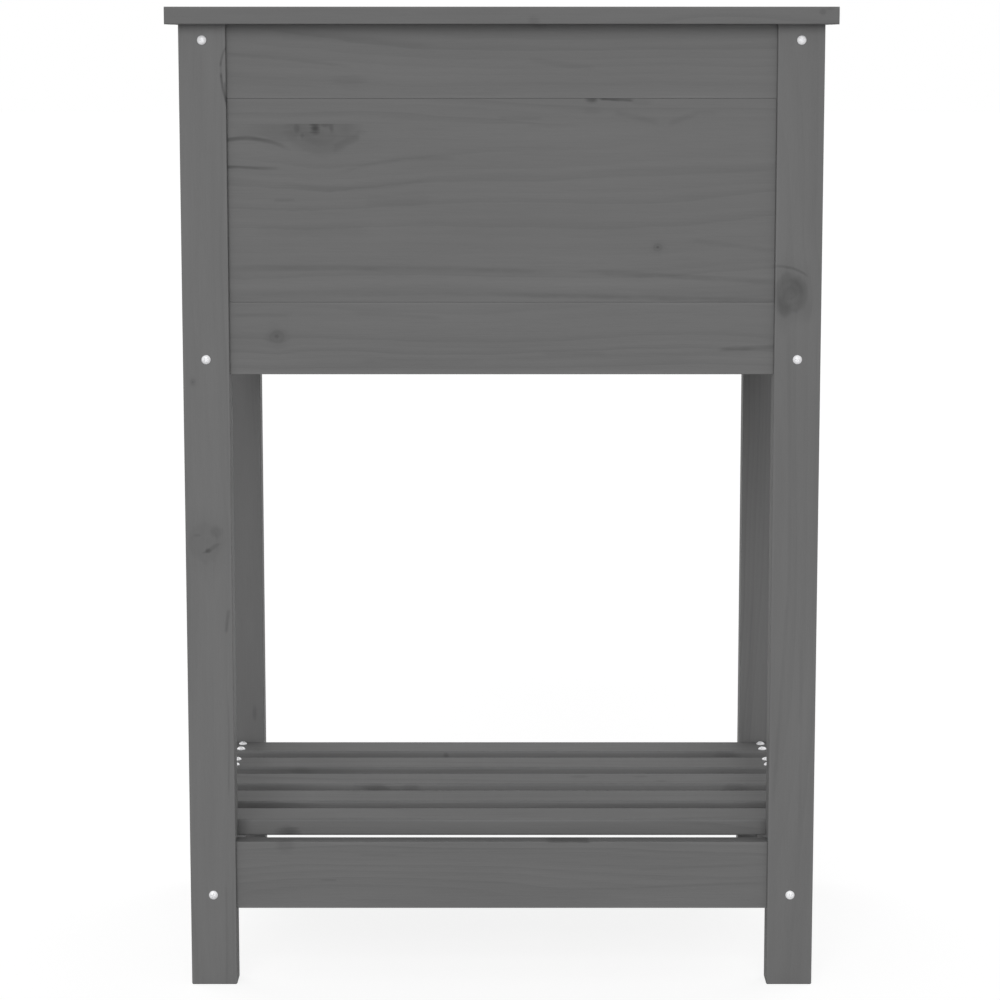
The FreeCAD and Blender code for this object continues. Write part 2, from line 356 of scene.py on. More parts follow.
@dataclass
class Sawmill:
    """Gives each board a cut and marks of its own, the same on every run.

    Pairs are ranges to draw from, and lengths are in millimetres. A knot's radius takes at most
    widest_knot of the board's width. Its body is darker by body_share of its core's darkness, and it
    pushes the rings by push_share of its radius.
    """

    ring_width: Pair = (3.2, 5.6)
    heart_depth: Pair = (24.0, 70.0)
    heart_side: Pair = (12.0, 75.0)
    seed_reach: float = 90.0
    tone_spread: float = 0.03
    figure: Pair = (0.7, 1.3)
    face_per_knot: float = 26000.0
    knot_radius: Pair = (2.2, 6.5)
    widest_knot: float = 0.3
    knot_margin: float = 20.0
    knot_core: Pair = (0.15, 0.32)
    knot_stretch: Pair = (1.0, 1.5)
    body_share: float = 0.5
    push_share: float = 1.3
    vein_count: tuple[int, int] = (2, 4)
    vein_length: Pair = (40.0, 190.0)
    vein_drift: Pair = (-4.0, 4.0)
    vein_bow: Pair = (-3.0, 3.0)
    vein_width: Pair = (1.2, 3.5)
    vein_dark: Pair = (0.04, 0.1)

    def cut(self, node: str, grain: Grain, **known: Any) -> Board:
        """Makes a board with drawn marks, then puts in what is known of it.

        Args:
            node: The CAD node's name.
            grain: The board's axes.
            known: Fields that replace the drawn ones.

        Returns:
            The board.
        """
        draw = random.Random(node)
        low, high = (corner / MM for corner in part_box(node))
        along, _, across = grain.axes()
        length = (low[along], high[along])
        width = (low[across], high[across])
        depth = draw.choice((-1.0, 1.0)) * draw.uniform(*self.heart_depth)
        side = draw.choice((-1.0, 1.0)) * draw.uniform(*self.heart_side)
        ring = draw.uniform(*self.ring_width)
        seed = tuple(draw.uniform(-self.seed_reach, self.seed_reach) for _ in range(3))
        tone = 1.0 + draw.uniform(-self.tone_spread, self.tone_spread)
        figure = draw.uniform(*self.figure)
        face = (length[1] - length[0]) * (width[1] - width[0])
        knot_count = int(face / self.face_per_knot + draw.random())
        knots = tuple(self.knot(draw, length, width) for _ in range(knot_count))
        vein_count = draw.randint(*self.vein_count)
        veins = tuple(self.vein(draw, length, width) for _ in range(vein_count))
        drawn = Board(node, grain, (depth, side), ring, seed, tone, figure, knots, veins)
        return replace(drawn, **known)

    def knot(self, draw: random.Random, length: Pair, width: Pair) -> Knot:
        """Draws a knot that fits a board.

        Args:
            draw: The board's own random numbers.
            length: The board's ends along its fibres.
            width: The board's edges.

        Returns:
            The knot.
        """
        radius = min(draw.uniform(*self.knot_radius), self.widest_knot * (width[1] - width[0]))
        along = draw.uniform(length[0] + self.knot_margin, length[1] - self.knot_margin)
        across = draw.uniform(width[0] + radius, width[1] - radius)
        core = draw.uniform(*self.knot_core)
        stretch = draw.uniform(*self.knot_stretch)
        return Knot(along, across, radius, stretch, self.body_share * core, core, self.push_share * radius)

    def vein(self, draw: random.Random, length: Pair, width: Pair) -> Vein:
        """Draws a faint darker line that fits a board.

        Args:
            draw: The board's own random numbers.
            length: The board's ends along its fibres.
            width: The board's edges.

        Returns:
            The line.
        """
        reach = draw.uniform(*self.vein_length)
        start = draw.uniform(length[0], max(length[0], length[1] - reach))
        across = draw.uniform(*width)
        drift = draw.uniform(*self.vein_drift)
        bow = draw.uniform(*self.vein_bow)
        thickness = draw.uniform(*self.vein_width)
        dark = draw.uniform(*self.vein_dark)
        return Vein(start, start + reach, across, across + drift, thickness, dark, bow)


@dataclass(frozen=True)
class Place:
    """Where a point of a board is, in millimetres, and how uneven the wood is there.

    The rough values are moved a little to and fro, which gives marks an uneven outline. The own
    values belong to the stave of a glued panel that the point is in.
    """

    point: Wire
    along: Wire
    through: Wire
    across: Wire
    rough_along: Wire
    rough_across: Wire
    own: Wire
    own_through: Wire
    own_across: Wire
    fibre: Wire
    wander: Wire
    blur: Wire


@dataclass(frozen=True)
class StainedPine:
    """Pine under a matt neutral grey stain that lets growth rings, fibres and knots show.

    A cell is the length of a noise's cell along, through and across a board, in millimetres. A fade
    is where something begins to show and where it shows in full.
    """

    # The stain and its sheen
    pale: Triple = (0.192, 0.192, 0.192)
    deep: Triple = (0.006, 0.006, 0.006)
    full_tone: float = 1.3
    roughness: float = 0.56
    fibre_rough: float = 0.3
    mark_shine: float = 0.25
    gloss: float = 0.06
    # The raised fibres, in metres
    relief: float = 0.00022
    relief_strength: float = 0.5
    late_dip: float = 0.5
    # Fibres, pores and patches
    fibre: float = 0.13
    fibre_cell: Triple = (34.0, 0.9, 0.9)
    pore: float = 0.07
    pore_fade: Pair = (0.62, 0.78)
    patch: float = 0.13
    patch_cell: Triple = (170.0, 60.0, 24.0)
    # What makes outlines uneven, and how far a panel's staves are apart in the noises
    wander_cell: Triple = (110.0, 15.0, 15.0)
    blur_cell: Triple = (15.0, 6.0, 6.0)
    wander_sway: float = 1.5
    fibre_sway: float = 0.5
    stave_jump: Triple = (531.0, 23.0, 61.0)
    # Growth rings
    band: float = 0.13
    band_length: float = 10.0
    late_wood: float = 0.1
    late_rise: Pair = (0.25, 0.92)
    late_fall: Pair = (1.0, 0.92)
    late_least: float = 0.08
    steep_fade: Pair = (0.05, 0.45)
    drift: float = 44.0
    drift_cell: Triple = (480.0, 150.0, 150.0)
    ring_wander: float = 4.5
    ring_jitter: float = 1.3
    # Knots, with fades in radii
    knot_wander: float = 0.8
    knot_blur: float = 0.35
    knot_fade: Pair = (1.2, 0.75)
    rim_fade: Pair = (1.05, 0.6)
    core_fade: Pair = (0.5, 0.05)
    halo_fade: Pair = (2.3, 0.9)
    knot_line: float = 15.0
    knot_line_sway: float = 9.0
    knot_line_depth: float = 0.1
    knot_mottle: float = 0.8
    knot_level: float = 1.3
    push_softness: float = 0.6
    # Veins and blots
    mark_fibre: float = 0.6
    mark_blur: float = 1.2
    vein_core: float = 0.15
    vein_span: Pair = (0.53, 0.36)
    blot_blur: float = 1.1
    blot_fibre: float = 0.7
    blot_fade: Pair = (1.15, 0.3)
    # Sawn ends and rubbed edges
    end_grain: float = 0.16
    end_fade: Pair = (0.7, 0.2)
    edge_wear: float = 0.07
    edge_wander: float = 4.0
    edge_fade: Pair = (4.2, 2.4)

    def material(self, board: Board) -> bpy.types.Material:
        """Paints one board.

        Args:
            board: The board's cut and marks.

        Returns:
            A material for its CAD node.
        """
        material, paint = new_material(f"stained_pine_{board.node}")
        place = self.place(paint, board)
        fibre = place.fibre
        shade, bulge = self.knots(paint, board, place)
        band, late = self.rings(paint, board, place, bulge)
        shade = (shade + self.marks(paint, board, place)) * swing(fibre, self.mark_fibre)
        patch = paint.noise(place.own, self.patch_cell, board.seed)
        pore = paint.smooth(fibre, *self.pore_fade) * self.pore
        plain = 1.0 - NOISE_MIDDLE * (self.patch + self.fibre + self.band * board.figure)
        figure = band * (self.band * board.figure) - late * (self.late_wood * board.figure)
        tone = patch * self.patch + fibre * self.fibre + figure + plain - pore - shade
        tone = tone * self.wear(paint, board, place)
        colour = paint.blend(tone * (board.tone / self.full_tone), self.deep, self.pale)
        least_rough = self.roughness - NOISE_MIDDLE * self.fibre_rough
        rough = fibre * self.fibre_rough - shade * self.mark_shine + least_rough
        normal = paint.bump(fibre - late * self.late_dip, self.relief_strength, self.relief)
        sockets = {
            "Base Color": colour,
            "Roughness": rough,
            "Specular IOR Level": self.gloss,
            "Normal": normal,
        }
        paint.surface(paint.node("ShaderNodeBsdfPrincipled", None, sockets))
        return material

    def place(self, paint: Paint, board: Board) -> Place:
        """Finds where a point is in the board's own axes.

        Args:
            paint: The board's nodes.
            board: The board.

        Returns:
            The point's place.
        """
        point = paint.point()
        parts = paint.parts(point)
        along, through, across = (parts[axis] for axis in board.grain.axes())
        stave = [along, through, across]
        if board.glue_line is not None:
            upper = across > board.glue_line
            stave = [wire + upper * jump for wire, jump in zip(stave, self.stave_jump)]
        own = paint.node("ShaderNodeCombineXYZ", None, dict(enumerate(stave)))
        fibre = paint.noise(own, self.fibre_cell, board.seed)
        wander = paint.noise(own, self.wander_cell, board.seed)
        blur = paint.noise(own, self.blur_cell, board.seed, detail=1.0)
        # The blur sways by a millimetre as it is
        middle = NOISE_MIDDLE * (self.wander_sway + self.fibre_sway + 1.0)
        sway = wander * self.wander_sway + fibre * self.fibre_sway + blur - middle
        return Place(
            point=point,
            along=along,
            through=through,
            across=across,
            rough_along=along + sway,
            rough_across=across + sway,
            own=own,
            own_through=stave[1],
            own_across=stave[2],
            fibre=fibre,
            wander=wander,
            blur=blur,
        )

    def knots(self, paint: Paint, board: Board, place: Place) -> tuple[Operand, Operand]:
        """Paints a board's knots and how far they push the rings aside.

        Args:
            paint: The board's nodes.
            board: The board.
            place: The point's place.

        Returns:
            The darkening, and the rings' shift away from the knots in millimetres.
        """
        if not board.knots:
            return 0.0, 0.0
        middle = 1.0 + NOISE_MIDDLE * (self.knot_wander + self.knot_blur)
        uneven = middle - place.wander * self.knot_wander - place.blur * self.knot_blur
        sockets = {0: place.rough_along, 2: place.rough_across}
        flat = paint.node("ShaderNodeCombineXYZ", None, sockets)
        drawn = [self.knot(paint, knot, place, flat, uneven) for knot in board.knots]
        return total([shade for shade, _ in drawn]), total([push for _, push in drawn])

    def knot(self, paint: Paint, knot: Knot, place: Place, flat: Wire, uneven: Wire) -> tuple[Wire, Wire]:
        """Paints one knot.

        Args:
            paint: The board's nodes.
            knot: The knot.
            place: The point's place.
            flat: The point on the board's face, along and across.
            uneven: A factor for the distance from the knot's middle.

        Returns:
            The darkening, and the rings' shift.
        """
        scale = (1.0 / (knot.radius * knot.stretch), 0.0, 1.0 / knot.radius)
        start = (-knot.along * scale[0], 0.0, -knot.across * scale[2])
        at = paint.scaled(flat, scale, start)
        apart = paint.length(at) * uneven
        body = paint.smooth(apart, *self.knot_fade)
        inner = paint.smooth(apart, *self.rim_fade)
        wave = paint.maths("SINE", apart * self.knot_line + place.blur * self.knot_line_sway)
        lines = wave * self.knot_line_depth - self.knot_mottle * place.blur + self.knot_level
        shade = body * lines * knot.body + (body - inner) * (place.blur * (knot.rim / NOISE_MIDDLE))
        for fade, dark in ((self.core_fade, knot.core), (self.halo_fade, knot.halo)):
            if dark:
                shade = shade + paint.smooth(apart, *fade) * dark
        push = paint.parts(at)[2] / (apart * apart + self.push_softness) * knot.push
        if knot.below is not None:
            under = place.across < knot.below
            shade = shade * under
            push = push * under
        return shade, push

    def rings(self, paint: Paint, board: Board, place: Place, bulge: Operand) -> tuple[Wire, Wire]:
        """Paints the growth rings round the heart of the tree.

        Args:
            paint: The board's nodes.
            board: The board.
            place: The point's place.
            bulge: The shift that the knots give across the board.

        Returns:
            Broad soft bands, and the late wood's lines, both from 0 to 1.
        """
        low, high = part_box(board.node)
        middle = (low + high) / (2.0 * MM)
        _, through, across = board.grain.axes()
        bend = paint.noise(place.own, self.drift_cell, board.seed, detail=1.0, output=1)
        drift = paint.parts(bend)
        half = NOISE_MIDDLE * self.drift
        depth = drift[0] * self.drift + place.own_through - (middle[through] + board.heart[0] + half)
        side = drift[1] * self.drift + place.own_across - (middle[across] + board.heart[1] + half)
        radius = paint.maths("SQRT", depth * depth + side * side)
        tilt = side / radius
        reach = place.wander * self.ring_wander + radius - bulge * tilt
        sockets = {"W": reach * (1.0 / self.band_length), "Scale": 1.0, "Detail": 2.0}
        band = paint.node("ShaderNodeTexNoise", {"noise_dimensions": "1D"}, sockets)
        count = reach * (1.0 / board.ring) + band * self.ring_jitter
        year = paint.maths("FRACT", count)
        sockets = {"W": paint.maths("FLOOR", count)}
        strength = paint.node("ShaderNodeTexWhiteNoise", {"noise_dimensions": "1D"}, sockets)
        line = paint.smooth(year, *self.late_rise) * paint.smooth(year, *self.late_fall)
        steep = paint.smooth(abs(tilt), *self.steep_fade)
        bold = strength * strength * (1.0 - self.late_least) + self.late_least
        return band, line * bold * steep

    def marks(self, paint: Paint, board: Board, place: Place) -> Wire:
        """Paints a board's darker lines and spots.

        Args:
            paint: The board's nodes.
            board: The board.
            place: The point's place.

        Returns:
            The darkening.
        """
        drawn = [self.vein(paint, vein, place) for vein in board.veins]
        if board.blots:
            middle = NOISE_MIDDLE * (self.blot_blur + self.blot_fibre)
            crumble = place.blur * self.blot_blur + place.fibre * self.blot_fibre - middle
            drawn += [self.blot(paint, blot, place, crumble) for blot in board.blots]
        return total(drawn) * swing(place.blur, self.mark_blur)

    def vein(self, paint: Paint, vein: Vein, place: Place) -> Wire:
        """Paints a darker line along or across the fibres.

        Args:
            paint: The board's nodes.
            vein: The line.
            place: The point's place.

        Returns:
            The darkening.
        """
        run, side = place.along, place.rough_across
        if vein.crosswise:
            run, side = place.across, place.rough_along
        length = vein.end - vein.start
        step = paint.maths("MULTIPLY_ADD", run, 1.0 / length, -vein.start / length)
        # The parabola 4 b t (1 - t) is b high halfway
        rise = 4.0 * vein.bow
        slope = vein.end_across - vein.start_across + rise
        if vein.bow:
            slope = slope - step * rise
        path = paint.maths("MULTIPLY_ADD", step, slope, vein.start_across)
        line = paint.smooth(abs(side - path), vein.width, self.vein_core * vein.width)
        span = paint.smooth(abs(step - 0.5), *self.vein_span)
        dark = vein.dark
        if vein.fade:
            dark = dark - step * (dark * vein.fade)
        return line * span * dark

    def blot(self, paint: Paint, blot: Blot, place: Place, crumble: Wire) -> Wire:
        """Paints a dark spot.

        Args:
            paint: The board's nodes.
            blot: The spot.
            place: The point's place.
            crumble: An uneven change of the spot's size.

        Returns:
            The darkening.
        """
        scale = tuple(1.0 / radius for radius in blot.radii)
        start = tuple(-centre * size for centre, size in zip(blot.centre, scale))
        apart = paint.length(paint.scaled(place.point, scale, start))
        spot = paint.smooth(apart + crumble, *self.blot_fade) * blot.dark
        return spot if blot.below is None else spot * (place.across < blot.below)

    def wear(self, paint: Paint, board: Board, place: Place) -> Wire:
        """Paints the sawn ends and the rubbed edges.

        Args:
            paint: The board's nodes.
            board: The board.
            place: The point's place.

        Returns:
            A factor for the tone.
        """
        low, high = (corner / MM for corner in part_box(board.node))
        inset = []
        for wire, axis in zip((place.along, place.through, place.across), board.grain.axes()):
            half = 0.5 * (high[axis] - low[axis])
            inset.append(half - abs(wire - 0.5 * (high[axis] + low[axis])))
        ends = paint.smooth(inset[0], *self.end_fade)
        edge = paint.maths("MAXIMUM", inset[1], inset[2])
        rubbed = paint.smooth(place.wander * self.edge_wander + edge, *self.edge_fade)
        return rubbed * self.edge_wear - ends * self.end_grain + 1.0


@dataclass(frozen=True)
class ZincPlate:
    """Matt pale zinc on steel screws, with a faint spangle and fine scratches.

    The spangle's and the scratches' cells are in millimetres, the relief in metres.
    """

    bright: Triple = (0.82, 0.82, 0.83)
    dull: Triple = (0.7, 0.7, 0.71)
    roughness: float = 0.7
    spangle_cell: float = 1.4
    spangle_dull: float = 0.45
    spangle_rough: float = 0.06
    scratch_cell: Triple = (0.5, 2.4, 0.18)
    scratch_start: Triple = (3.0, 5.0, 7.0)
    scratch_dull: float = 0.3
    scratch_rough: float = 0.24
    relief: float = 0.00004
    relief_strength: float = 0.3

    def material(self) -> bpy.types.Material:
        """Makes the finish.

        Returns:
            A material for every screw.
        """
        material, paint = new_material("zinc_plate")
        here = paint.point()
        sockets = {"Vector": here, "Scale": 1.0 / self.spangle_cell}
        spangle = paint.parts(paint.node("ShaderNodeTexVoronoi", None, sockets, "Color"))[0]
        scratch = paint.noise(here, self.scratch_cell, self.scratch_start)
        share = spangle * self.spangle_dull + scratch * self.scratch_dull
        colour = paint.blend(share, self.bright, self.dull)
        rough = self.roughness + (scratch - NOISE_MIDDLE) * self.scratch_rough + spangle * self.spangle_rough
        normal = paint.bump(scratch, self.relief_strength, self.relief)
        sockets = {"Base Color": colour, "Metallic": 1.0, "Roughness": rough, "Normal": normal}
        paint.surface(paint.node("ShaderNodeBsdfPrincipled", None, sockets))
        return material


@dataclass(frozen=True)
class BeechDowel:
    """Bare beech of the hidden dowels, with its fibres and short darker flecks.

    Cells are in millimetres, the relief in metres.
    """

    pale: Triple = (0.56, 0.37, 0.22)
    dark: Triple = (0.30, 0.17, 0.09)
    roughness: float = 0.62
    gloss: float = 0.3
    fibre_cell: Triple = (14.0, 0.5, 0.5)
    fibre_start: Triple = (1.0, 2.0, 3.0)
    fibre_share: float = 0.4
    fibre_rough: float = 0.2
    fleck_cell: Triple = (2.6, 0.4, 0.4)
    fleck_start: Triple = (9.0, 4.0, 6.0)
    fleck_fade: Pair = (0.58, 0.7)
    fleck_share: float = 0.5
    relief: float = 0.0001
    relief_strength: float = 0.4

    def material(self) -> bpy.types.Material:
        """Makes the finish.

        Returns:
            A material for every dowel.
        """
        material, paint = new_material("beech_dowel")
        here = paint.point()
        fibre = paint.noise(here, self.fibre_cell, self.fibre_start)
        speckle = paint.noise(here, self.fleck_cell, self.fleck_start, detail=1.0)
        fleck = paint.smooth(speckle, *self.fleck_fade)
        share = fibre * self.fibre_share + fleck * self.fleck_share
        colour = paint.blend(share, self.pale, self.dark)
        rough = self.roughness + (fibre - NOISE_MIDDLE) * self.fibre_rough
        normal = paint.bump(fibre, self.relief_strength, self.relief)
        sockets = {
            "Base Color": colour,
            "Roughness": rough,
            "Specular IOR Level": self.gloss,
            "Normal": normal,
        }
        paint.surface(paint.node("ShaderNodeBsdfPrincipled", None, sockets))
        return material


def set_finish(piece: bpy.types.Object, material: bpy.types.Material) -> None:
    """Puts one material in every slot of a piece.

    Args:
        piece: A mesh object.
        material: Its finish.
    """
    if not piece.material_slots:
        piece.data.materials.append(material)
    for slot in piece.material_slots:
        slot.material = material


@dataclass
class TimberWork(ABC):
    """A sub-assembly of boards that the CAD frame already holds.

    The marks of its boards are in millimetres, in the shared frame.
    """

    nodes: dict[str, bpy.types.Object]
    mill: Sawmill
    finish: StainedPine

    @abstractmethod
    def boards(self) -> list[Board]:
        """Lists the sub-assembly's boards."""

    def dress(self) -> None:
        """Gives each board its own stained pine."""
        for board in self.boards():
            set_finish(self.nodes[board.node], self.finish.material(board))
            LOG.info("%s: %d knots, %d veins", board.node, len(board.knots), len(board.veins))


@dataclass
class Legs(TimberWork):
    """The four corner legs.

    Blots of the front legs lie on their face and reach into them by depth.
    """

    face: float = -162.0
    depth: float = 12.0
    left_knots: tuple[Knot, ...] = (
        Knot(376.0, -243.5, 14.0, stretch=1.15, body=0.065, push=7.0, halo=0.04, rim=0.03),
        Knot(508.8, -252.3, 2.6, stretch=1.3, body=0.1, core=0.14, push=3.0, halo=0.05, rim=0.0),
    )
    left_veins: tuple[Vein, ...] = (
        Vein(367.0, 376.0, -244.0, -232.6, width=4.4, dark=0.2, fade=0.4),
        Vein(764.0, 780.5, -226.2, -221.4, width=1.5, dark=0.26, bow=-1.0),
        Vein(755.0, 769.0, -225.6, -226.2, width=1.2, dark=0.12),
        Vein(735.0, 760.0, -221.4, -225.8, width=1.7, dark=0.34, bow=-0.8),
        Vein(732.0, 753.0, -221.8, -222.8, width=1.2, dark=0.24),
        Vein(300.0, 321.0, -227.5, -225.0, width=2.2, dark=0.16),
        Vein(160.0, 250.0, -227.5, -227.0, width=1.2, dark=0.12, bow=1.0),
        Vein(-10.0, 90.0, -231.5, -230.5, width=1.4, dark=0.09, bow=0.5),
    )
    left_blots: tuple[Blot, ...] = (
        Blot((-241.8, face, 369.6), (3.4, depth, 2.4), dark=0.2),
        Blot((-233.8, face, 385.2), (6.0, depth, 5.6), dark=0.12),
        Blot((-250.3, face, 382.4), (3.6, depth, 1.8), dark=0.1),
    )
    right_knots: tuple[Knot, ...] = (
        Knot(580.6, 234.9, 14.0, stretch=1.1, body=0.2, push=12.0, halo=0.09, rim=0.04),
    )
    right_veins: tuple[Vein, ...] = (
        Vein(150.0, 340.0, 225.5, 236.5, width=2.6, dark=0.06),
        Vein(120.0, 310.0, 247.8, 247.0, width=2.2, dark=0.05, bow=1.0),
        Vein(220.0, 249.0, 603.2, 595.5, width=1.8, dark=0.2, bow=3.2, crosswise=True),
        Vein(320.0, 560.0, 237.0, 233.0, width=2.4, dark=0.05, bow=1.0),
    )
    right_blots: tuple[Blot, ...] = (
        Blot((229.0, face, 570.0), (8.0, depth, 9.0), dark=0.1),
        Blot((242.0, face, 588.0), (7.0, depth, 10.0), dark=0.08),
        Blot((248.0, face, 568.0), (6.0, depth, 12.0), dark=0.05),
    )
    rear_blots: tuple[Blot, ...] = (Blot((-230.6, 141.0, 162.7), (2.6, 6.0, 8.0), dark=0.18),)
    figure: float = 0.75
    left_tone: float = 1.045
    right_tone: float = 1.01
    rear_tone: float = 1.07

    def boards(self) -> list[Board]:
        """Lists the four legs with the marks that show on their faces.

        Returns:
            The legs' boards.
        """
        cut = self.mill.cut
        left = {"knots": self.left_knots, "veins": self.left_veins, "blots": self.left_blots}
        right = {"knots": self.right_knots, "veins": self.right_veins, "blots": self.right_blots}
        return [
            cut("front_left_leg", Grain.LEG, tone=self.left_tone, figure=self.figure, **left),
            cut("front_right_leg", Grain.LEG, tone=self.right_tone, figure=self.figure, **right),
            cut("rear_left_leg", Grain.LEG, tone=self.rear_tone, blots=self.rear_blots),
            cut("rear_right_leg", Grain.LEG, tone=self.rear_tone),
        ]


@dataclass
class FrontWall(TimberWork):
    """The front of the planting box: two rails and the panel between them.

    Blots lie in the middle of the boards and are deep enough to go through.
    """

    glue_line: float = 718.6
    middle: float = -151.0
    depth: float = 40.0
    panel_heart: Pair = (55.0, 60.0)
    tone: float = 1.0
    figure: float = 0.8
    panel_knots: tuple[Knot, ...] = (
        Knot(
            -144.2, glue_line, 26.0, stretch=1.1, body=0.155, push=18.0, halo=0.03, rim=0.03, below=glue_line
        ),
        Knot(-146.7, 712.0, 10.5, stretch=1.1, body=0.05, halo=0.0, rim=0.02, below=glue_line),
        Knot(126.8, 618.9, 3.2, stretch=1.2, body=0.12, core=0.24, push=5.0, halo=0.05, rim=0.03),
    )
    panel_blots: tuple[Blot, ...] = (
        Blot((-150.8, middle, 714.8), (5.6, depth, 5.6), dark=0.42, below=glue_line),
        Blot((-137.6, middle, 714.8), (2.6, depth, 5.4), dark=0.15, below=glue_line),
        Blot((-143.0, middle, 717.4), (5.0, depth, 2.4), dark=0.16, below=glue_line),
        Blot((-165.6, middle, 715.0), (2.6, depth, 4.6), dark=0.12, below=glue_line),
        Blot((-161.4, middle, 708.4), (2.4, depth, 4.2), dark=0.14, below=glue_line),
        Blot((-184.0, middle, 712.5), (36.0, depth, 12.0), dark=0.115, below=glue_line),
        Blot((-113.5, middle, 711.8), (5.0, depth, 3.0), dark=0.06),
        Blot((73.2, middle, 738.0), (6.5, depth, 3.4), dark=0.42),
        Blot((112.5, middle, 736.0), (11.0, depth, 3.4), dark=0.06),
        Blot((72.0, middle, 729.0), (10.0, depth, 4.0), dark=0.06),
        Blot((166.0, middle, 727.3), (10.0, depth, 2.8), dark=0.055),
    )
    panel_veins: tuple[Vein, ...] = (
        Vein(-236.0, -171.0, 701.0, 697.8, width=2.6, dark=0.5, bow=7.5, fade=0.75),
        Vein(-236.0, -178.0, 684.4, 682.6, width=2.0, dark=0.5, fade=0.85),
        Vein(-137.0, -114.0, 697.0, 709.5, width=6.0, dark=0.075),
        Vein(-133.8, -36.1, 678.5, 690.9, width=3.0, dark=0.07, bow=4.3),
        Vein(-179.2, -55.2, 669.4, 674.4, width=3.0, dark=0.07, bow=-5.4),
        Vein(-185.0, -167.0, 657.0, 657.0, width=2.0, dark=0.08),
        Vein(-112.0, -56.0, 656.2, 656.2, width=7.0, dark=0.05),
        Vein(-202.0, -105.0, 633.0, 633.0, width=9.0, dark=0.04),
        Vein(-228.0, 46.0, 602.4, 598.3, width=3.6, dark=0.1, bow=1.0),
        Vein(60.0, 232.0, 599.1, 589.4, width=3.6, dark=0.12, bow=0.6),
        Vein(-228.0, 120.0, 581.0, 580.0, width=4.0, dark=0.05, bow=1.0),
        Vein(-10.0, 240.0, 580.4, 574.6, width=3.4, dark=0.13),
        Vein(105.0, 240.0, 579.2, 578.8, width=6.0, dark=0.05),
        Vein(78.0, 107.0, 738.8, 737.2, width=1.7, dark=0.4),
        Vein(90.0, 128.0, 728.0, 719.5, width=4.0, dark=0.075),
        Vein(134.0, 160.0, 718.5, 727.5, width=4.0, dark=0.075),
        Vein(-4.0, 34.0, 723.2, 723.2, width=2.4, dark=0.06),
        Vein(20.0, 64.0, 717.4, 717.4, width=2.4, dark=0.06),
        Vein(152.0, 232.0, 624.7, 614.0, width=3.4, dark=0.06),
    )
    top_veins: tuple[Vein, ...] = (
        Vein(-185.0, -52.0, 789.6, 779.0, width=5.0, dark=0.06, bow=1.4),
        Vein(-228.0, -120.0, 774.0, 764.0, width=2.2, dark=0.08, bow=1.6),
        Vein(20.0, 76.0, 769.8, 762.7, width=4.0, dark=0.06),
    )
    top_blots: tuple[Blot, ...] = (
        Blot((-123.0, middle, 753.0), (17.0, depth, 8.0), dark=0.07),
        Blot((29.2, middle, 798.0), (8.0, depth, 5.0), dark=0.14),
    )
    low_knots: tuple[Knot, ...] = (
        Knot(-183.3, 546.3, 5.0, stretch=1.15, body=0.1, core=0.16, push=7.0, halo=0.07, rim=0.04),
    )
    low_veins_and_highlight: tuple[Vein, ...] = (
        Vein(-222.0, -170.0, 563.7, 563.7, width=2.2, dark=0.08),
        Vein(-125.0, -47.0, 565.3, 561.0, width=2.6, dark=0.06),
        Vein(-120.0, -14.0, 525.6, 525.6, width=4.0, dark=0.05),
        Vein(32.0, 85.0, 532.3, 532.3, width=3.0, dark=0.05),
        Vein(176.0, 240.0, 535.0, 538.6, width=2.8, dark=0.21),
        Vein(-10.0, 240.0, 527.0, 534.5, width=3.6, dark=0.05),
        # A painted highlight: a paler line along the whole lower edge of the bottom rail
        Vein(-228.0, 228.0, 517.4, 517.4, width=1.6, dark=-0.05),
    )

    def boards(self) -> list[Board]:
        """Lists the front rails and panel with the marks that show on them.

        Returns:
            The three boards from the top down.
        """
        cut = self.mill.cut
        sawn = {"tone": self.tone, "figure": self.figure}
        panel = {"knots": self.panel_knots, "veins": self.panel_veins, "blots": self.panel_blots}
        panel |= {"heart": self.panel_heart, "glue_line": self.glue_line}
        return [
            cut("front_top_rail", Grain.RAIL, knots=(), veins=self.top_veins, blots=self.top_blots, **sawn),
            cut("front_panel", Grain.RAIL, **panel, **sawn),
            cut("front_bottom_rail", Grain.RAIL, knots=self.low_knots, veins=self.low_veins_and_highlight, **sawn),
        ]


@dataclass
class OtherWalls(TimberWork):
    """The rear and side walls of the planting box, whose panels are glued one stave up."""

    panel_bottom: float = 574.0
    stave: float = 92.0

    def boards(self) -> list[Board]:
        """Lists the rails and glued panels of the three walls.

        Returns:
            The boards, wall by wall.
        """
        made = []
        for side, grain in (("rear", Grain.RAIL), ("left", Grain.SIDE_RAIL), ("right", Grain.SIDE_RAIL)):
            made.append(self.mill.cut(f"{side}_top_rail", grain))
            made.append(self.mill.cut(f"{side}_panel", grain, glue_line=self.panel_bottom + self.stave))
            made.append(self.mill.cut(f"{side}_bottom_rail", grain))
        return made


@dataclass
class TopRim(TimberWork):
    """The flat boards that lie round the top of the box."""

    face: float = -172.0
    front_blots: tuple[Blot, ...] = (
        Blot((25.7, face, 800.5), (7.0, 16.0, 6.0), dark=0.1),
        Blot((256.6, face, 808.0), (3.4, 8.0, 4.0), dark=0.18),
        Blot((262.3, face, 810.5), (4.5, 8.0, 2.0), dark=0.14),
    )
    front_tone: float = 0.96

    def boards(self) -> list[Board]:
        """Lists the four rim boards.

        Returns:
            The boards.
        """
        return [
            self.mill.cut("rim_front", Grain.LONG_SLAT, blots=self.front_blots, tone=self.front_tone),
            self.mill.cut("rim_rear", Grain.LONG_SLAT),
            self.mill.cut("rim_left", Grain.SHORT_SLAT),
            self.mill.cut("rim_right", Grain.SHORT_SLAT),
        ]


